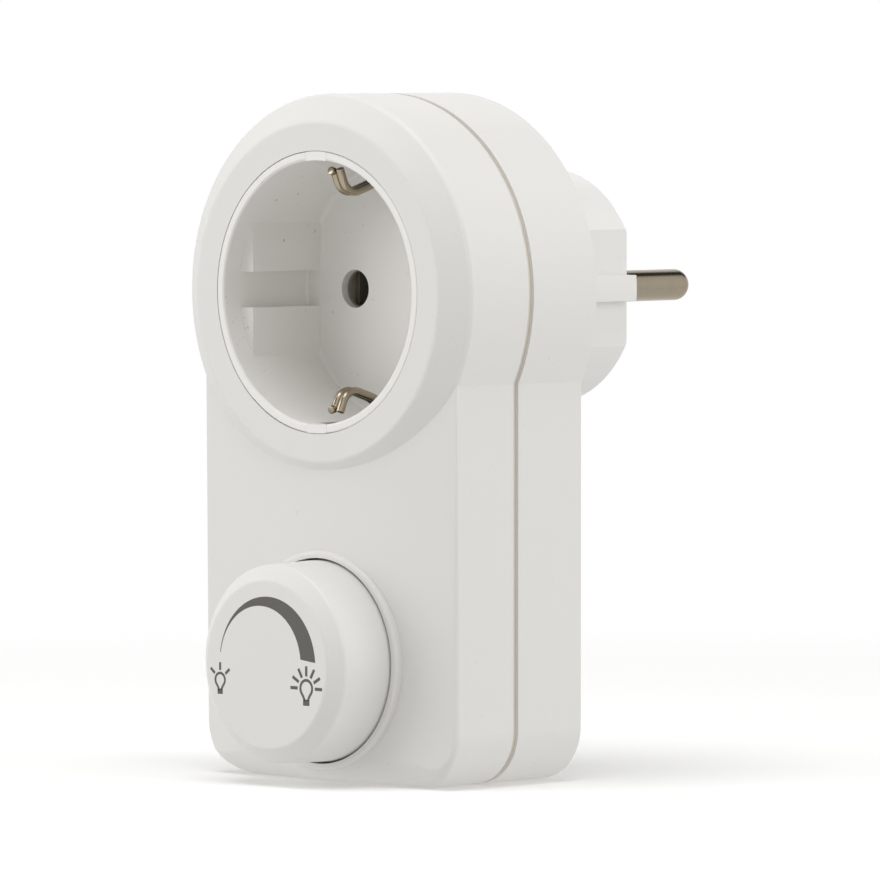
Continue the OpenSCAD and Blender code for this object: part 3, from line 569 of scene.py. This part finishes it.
screws = open_piece("cross_head_screws")
for x, z in screw_places:
    bpy.ops.mesh.select_all(action="DESELECT")
    add_rod(x, z, screw_head_r, seat_y, head_y, 40)
    add_rod(x, z, screw_shank_r, screw_tip_y, seat_y, 24)
select_edges(screws, lambda e: all(abs(v.co.y - head_y) < 1e-7 for v in e.verts))
bpy.ops.mesh.bevel(offset=dome_edge, segments=6, affect="EDGES")
close_piece(screws, zinc)
cutter = open_piece("recess_cutter")
for x, z in screw_places:
    for size in ((recess_span, 2 * recess_deep, recess_w), (recess_w, 2 * recess_deep, recess_span)):
        add_block((x * MM, head_y, z * MM), size)
close_piece(cutter, zinc)
bpy.ops.object.select_all(action="DESELECT")
bpy.context.view_layer.objects.active = screws
screws.select_set(True)
recess = screws.modifiers.new("recess", "BOOLEAN")
recess.object = cutter
recess.operation = "DIFFERENCE"
recess.solver = "EXACT"
recess.use_self = True
bpy.ops.object.modifier_apply(modifier=recess.name)
bpy.data.objects.remove(cutter)
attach(screws, "housing")
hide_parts("housing_screws")

# Knob: white satin moulding pressed on the flatted shaft, turning in the front housing's collar.
# A grey scale is pad-printed on its face: a swelling band from a small lamp sign to a large one.
knob_white = moulded("white_knob_moulding", (0.745, 0.738, 0.72), 0.42, 2200, 0.00003, dust=0.1)
paint(knob_white, "dimmer_knob")

knob_low, knob_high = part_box("dimmer_knob")
face_y = knob_low[1]
axis_z = (knob_low[2] + knob_high[2]) / 2
ink_proud, ink_deep = 0.012 * MM, 0.1 * MM
ink_layer = face_y + ink_deep


def on_face(x, z):
    """A place of the print, from the knob's axis."""
    return Vector((x * MM, ink_layer, axis_z + z * MM))


def add_bar(x, z, length, width):
    """A flat bar of the print, alone selected."""
    bpy.ops.mesh.select_all(action="DESELECT")
    bpy.ops.mesh.primitive_plane_add(size=MM, location=on_face(x, z), rotation=along_y)
    bpy.ops.transform.resize(value=(length, 1, width), center_override=on_face(x, z))


def swelling_band(rings, first, last, step):
    """The strip between two arcs of different circles, over the same angles."""
    for x, z, radius in rings:
        bpy.ops.mesh.primitive_circle_add(vertices=int(360 / step), radius=radius * MM, fill_type="NOTHING",
                                          location=on_face(x, z), rotation=along_y)
        shape = bmesh.from_edit_mesh(ink.data)
        centre = on_face(x, z)
        gone = [v for v in shape.verts if v.select
                and not first <= math.degrees(math.atan2(v.co.z - centre.z, v.co.x - centre.x)) <= last]
        bmesh.ops.delete(shape, geom=gone, context="VERTS")
        bmesh.update_edit_mesh(ink.data)
    bpy.ops.mesh.select_all(action="SELECT")
    bpy.ops.mesh.bridge_edge_loops()


shoulder, shoulder_w, waist, neck, foot, cap = -0.62, 0.785, -1.05, 0.46, -1.42, 0.36
taper_share, foot_pinch, ray_width = 0.35, 0.6, 1.15


def lamp_sign(x, z, radius, line, ray_angles, ray_from, ray_to):
    """A bulb in outline with its cap, and rays round it. The bulb's sizes are shares of its radius."""
    bpy.ops.mesh.select_all(action="DESELECT")
    bpy.ops.mesh.primitive_circle_add(vertices=64, radius=radius * MM, fill_type="NGON",
                                      location=on_face(x, z), rotation=along_y)
    shape = bmesh.from_edit_mesh(ink.data)
    centre = on_face(x, z)
    for vert in [v for v in shape.verts if v.select]:
        across, up = (vert.co.x - centre.x) / (radius * MM), (vert.co.z - centre.z) / (radius * MM)
        if up < shoulder:
            share = (shoulder - up) / (1 + shoulder)
            side = math.copysign(1, across)
            if share < taper_share:
                across = side * (shoulder_w + (neck - shoulder_w) * share / taper_share)
                up = shoulder + (waist - shoulder) * share / taper_share
            elif share < 2 * taper_share:
                across = side * neck
                up = waist + (foot - waist) * (share - taper_share) / taper_share
            else:
                across = min(max(across * foot_pinch, -neck), neck)
                up = foot
            vert.co.x = centre.x + across * radius * MM
            vert.co.z = centre.z + up * radius * MM
    bmesh.update_edit_mesh(ink.data)
    bpy.ops.mesh.select_mode(type="FACE")
    bpy.ops.mesh.inset(thickness=line * MM)
    bpy.ops.mesh.delete(type="FACE")
    add_bar(x, z + (foot - cap / 2) * radius, 2 * neck * radius, cap * radius)
    for angle in ray_angles:
        add_bar(x + (ray_from + ray_to) / 2, z, ray_to - ray_from, line * ray_width)
        bpy.ops.transform.rotate(value=math.radians(angle), orient_axis="Y", center_override=on_face(x, z))


ink = open_piece("knob_scale_print")
swelling_band([(0.19, 0.03, 10.11), (-1.28, 0.2, 8.5)], 4.0, 172.6, 2)
lamp_sign(-9.84, -2.75, 1.20, 0.38, (40, 90, 140), 1.45, 2.62)
lamp_sign(8.4, -3.15, 1.44, 0.42, (0, 30, 60, 90, 120, 150, 180), 1.80, 3.32)
bpy.ops.mesh.select_all(action="SELECT")
bpy.ops.mesh.extrude_region_move(TRANSFORM_OT_translate={"value": (0, -ink_deep - ink_proud, 0)})
grey_ink = moulded("grey_pad_print", (0.098, 0.092, 0.080), 0.55, 3800, 0.000004)
close_piece(ink, grey_ink, smooth=20)
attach(ink, "knob")
